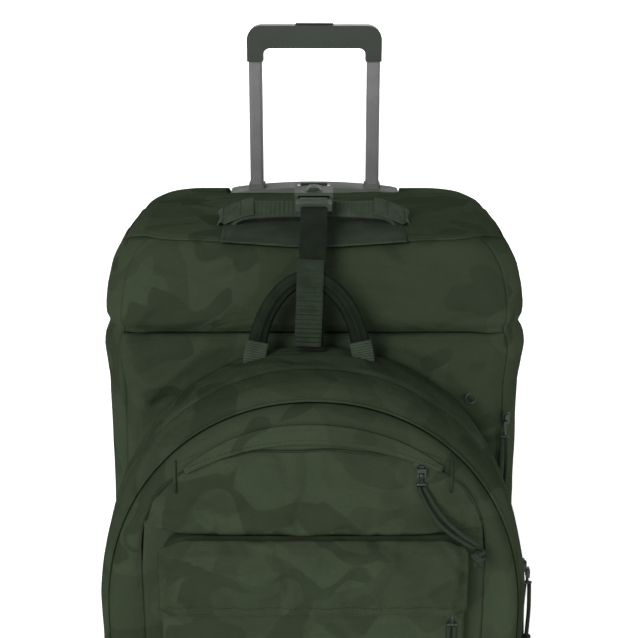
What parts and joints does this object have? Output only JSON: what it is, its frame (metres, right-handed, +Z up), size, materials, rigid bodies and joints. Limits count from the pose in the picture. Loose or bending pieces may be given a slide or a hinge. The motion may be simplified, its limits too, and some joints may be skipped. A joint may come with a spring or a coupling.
{
  "type": "rolling duffel bag",
  "caption": "Upright soft rolling duffel on wheels and feet, with a telescopic handle, a zipped front lid and a detachable arched daypack buckled over the top.",
  "frame": {"origin": "on the floor under the middle of the bag's bounding box", "axes": "+Z up, -Y is the front with the daypack, +X is the bag's left-hand side seen from behind, which is the right seen from the front"},
  "size_m": [0.392, 0.42, 0.845],
  "materials": {
    "fabric": "dark green camouflage woven polyester with a fine weave",
    "fabric_dark": "darker green reinforcement fabric",
    "zip_tape": "woven zip tape with coil teeth",
    "webbing": "ribbed green webbing",
    "cord": "braided green cord",
    "grip_plastic": "moulded green plastic, fine texture",
    "black_plastic": "moulded black plastic",
    "board": "stiff sheet plastic",
    "tube_metal": "satin anodised aluminium tube",
    "button": "satin grey moulded button",
    "steel": "plated steel",
    "slider_metal": "dark painted zip metal",
    "tyre": "moulded rubber tread",
    "padding": "padded strap fabric"
  },
  "bodies": {
    "root": {"left_side_panel": "fabric", "right_side_panel": "fabric", "top_panel": "fabric", "bottom_panel": "fabric_dark", "back_panel": "fabric", "upper_front_panel": "fabric", "body_zip_tape": "zip_tape", "top_patch": "fabric_dark", "trolley_bezel": "grip_plastic", "outer_tubes": "tube_metal", "tube_foot": "black_plastic", "stiffeners": "board", "packing_straps": "webbing", "base_tray": "black_plastic", "wheel_housings": "black_plastic", "axles": "steel", "front_feet": "black_plastic", "screws": "steel", "buckle_socket": "grip_plastic", "buckle_anchor": "webbing", "grab_handle": "webbing"},
    "handle_mid": {"mid_tubes": "tube_metal", "mid_collars": "black_plastic"},
    "handle_top": {"grip": "grip_plastic", "upper_tubes": "tube_metal", "button_spring": "steel"},
    "button": {"release_button": "button", "release_rods": "steel"},
    "wheel_left": {"tyre_left": "tyre", "hub_left": "black_plastic", "bearings_left": "steel"},
    "wheel_right": {"tyre_right": "tyre", "hub_right": "black_plastic", "bearings_right": "steel"},
    "lid": {"lid_panel": "fabric", "lid_zip_tape": "zip_tape", "eyelet": "slider_metal"},
    "pack": {"pack_back_panel": "fabric_dark", "pack_rear_shell": "fabric", "shoulder_straps": "padding", "haul_loop": "webbing", "tether_strap": "webbing", "buckle_tongue": "grip_plastic"},
    "pack_front": {"pack_front_shell": "fabric", "front_pocket": "fabric", "pocket_welt": "fabric", "lower_pocket": "fabric"},
    "flap": {"lower_flap": "fabric"},
    "main_zip": {"main_slider": "slider_metal"},
    "pack_zip": {"pack_slider": "slider_metal"},
    "front_zip": {"front_slider": "slider_metal"},
    "lower_zip": {"lower_slider": "slider_metal"},
    "main_puller": {"main_pull": "slider_metal", "main_cord": "cord"},
    "pack_puller": {"pack_pull": "slider_metal", "pack_cord": "cord"},
    "front_puller": {"front_pull": "slider_metal", "front_cord": "cord"},
    "lower_puller": {"lower_pull": "slider_metal", "lower_cord": "cord"}
  },
  "joints": [
    {"name": "handle_lower_slide", "type": "slide", "parent": "root", "child": "handle_mid", "axis": [0, 0, 1], "range_m": [0, 0.12]},
    {"name": "handle_upper_slide", "type": "slide", "parent": "handle_mid", "child": "handle_top", "axis": [0, 0, 1], "range_m": [-0.118, 0.11]},
    {"name": "release_button_press", "type": "slide", "parent": "handle_top", "child": "button", "axis": [0, 0, -1], "range_m": [0, 0.003], "stiffness_N_per_m": 400, "springref_m": -0.004, "deforming": ["button_spring"]},
    {"name": "wheel_left_spin", "type": "hinge", "parent": "root", "child": "wheel_left", "pos_m": [-0.17, 0.172, 0.038], "axis": [1, 0, 0], "continuous": true},
    {"name": "wheel_right_spin", "type": "hinge", "parent": "root", "child": "wheel_right", "pos_m": [0.17, 0.172, 0.038], "axis": [1, 0, 0], "continuous": true},
    {"name": "lid_open", "type": "hinge", "parent": "root", "child": "lid", "pos_m": [0, -0.05, 0.105], "axis": [1, 0, 0], "range_deg": [0, 90]},
    {"name": "pack_detach", "type": "slide", "parent": "lid", "child": "pack", "axis": [0, -1, 0], "range_m": [0, 0.2]},
    {"name": "pack_open", "type": "hinge", "parent": "pack", "child": "pack_front", "pos_m": [0, -0.165, 0.19], "axis": [1, 0, 0], "range_deg": [0, 75]},
    {"name": "pocket_flap_lift", "type": "hinge", "parent": "pack_front", "child": "flap", "pos_m": [0, -0.2072, 0.474], "axis": [-1, 0, 0], "range_deg": [0, 100]},
    {"name": "main_zip_slide", "type": "slide", "parent": "root", "child": "main_zip", "axis": [0, 0, 1], "range_m": [-0.35, 0.03]},
    {"name": "pack_zip_slide", "type": "slide", "parent": "pack", "child": "pack_zip", "axis": [0, 0, 1], "range_m": [-0.18, 0]},
    {"name": "front_zip_turn", "type": "hinge", "parent": "pack_front", "child": "front_zip", "pos_m": [0, -0.182, 0.329], "axis": [0, 1, 0], "range_deg": [-46, 0]},
    {"name": "lower_zip_slide", "type": "slide", "parent": "pack_front", "child": "lower_zip", "axis": [1, 0, 0], "range_m": [-0.224, 0]},
    {"name": "main_pull_swing", "type": "hinge", "parent": "main_zip", "child": "main_puller", "pos_m": [0.1725, -0.0482, 0.505], "axis": [0, -1, 0], "range_deg": [0, 110]},
    {"name": "pack_pull_swing", "type": "hinge", "parent": "pack_zip", "child": "pack_puller", "pos_m": [0.187, -0.12, 0.397], "axis": [0, -1, 0], "range_deg": [0, 110]},
    {"name": "front_pull_swing", "type": "hinge", "parent": "front_zip", "child": "front_puller", "pos_m": [0.08596, -0.1872, 0.52301], "axis": [-1, 0, 0], "range_deg": [0, 110]},
    {"name": "lower_pull_swing", "type": "hinge", "parent": "lower_zip", "child": "lower_puller", "pos_m": [0.112, -0.2055, 0.4075], "axis": [-1, 0, 0], "range_deg": [0, 80]}
  ]
}
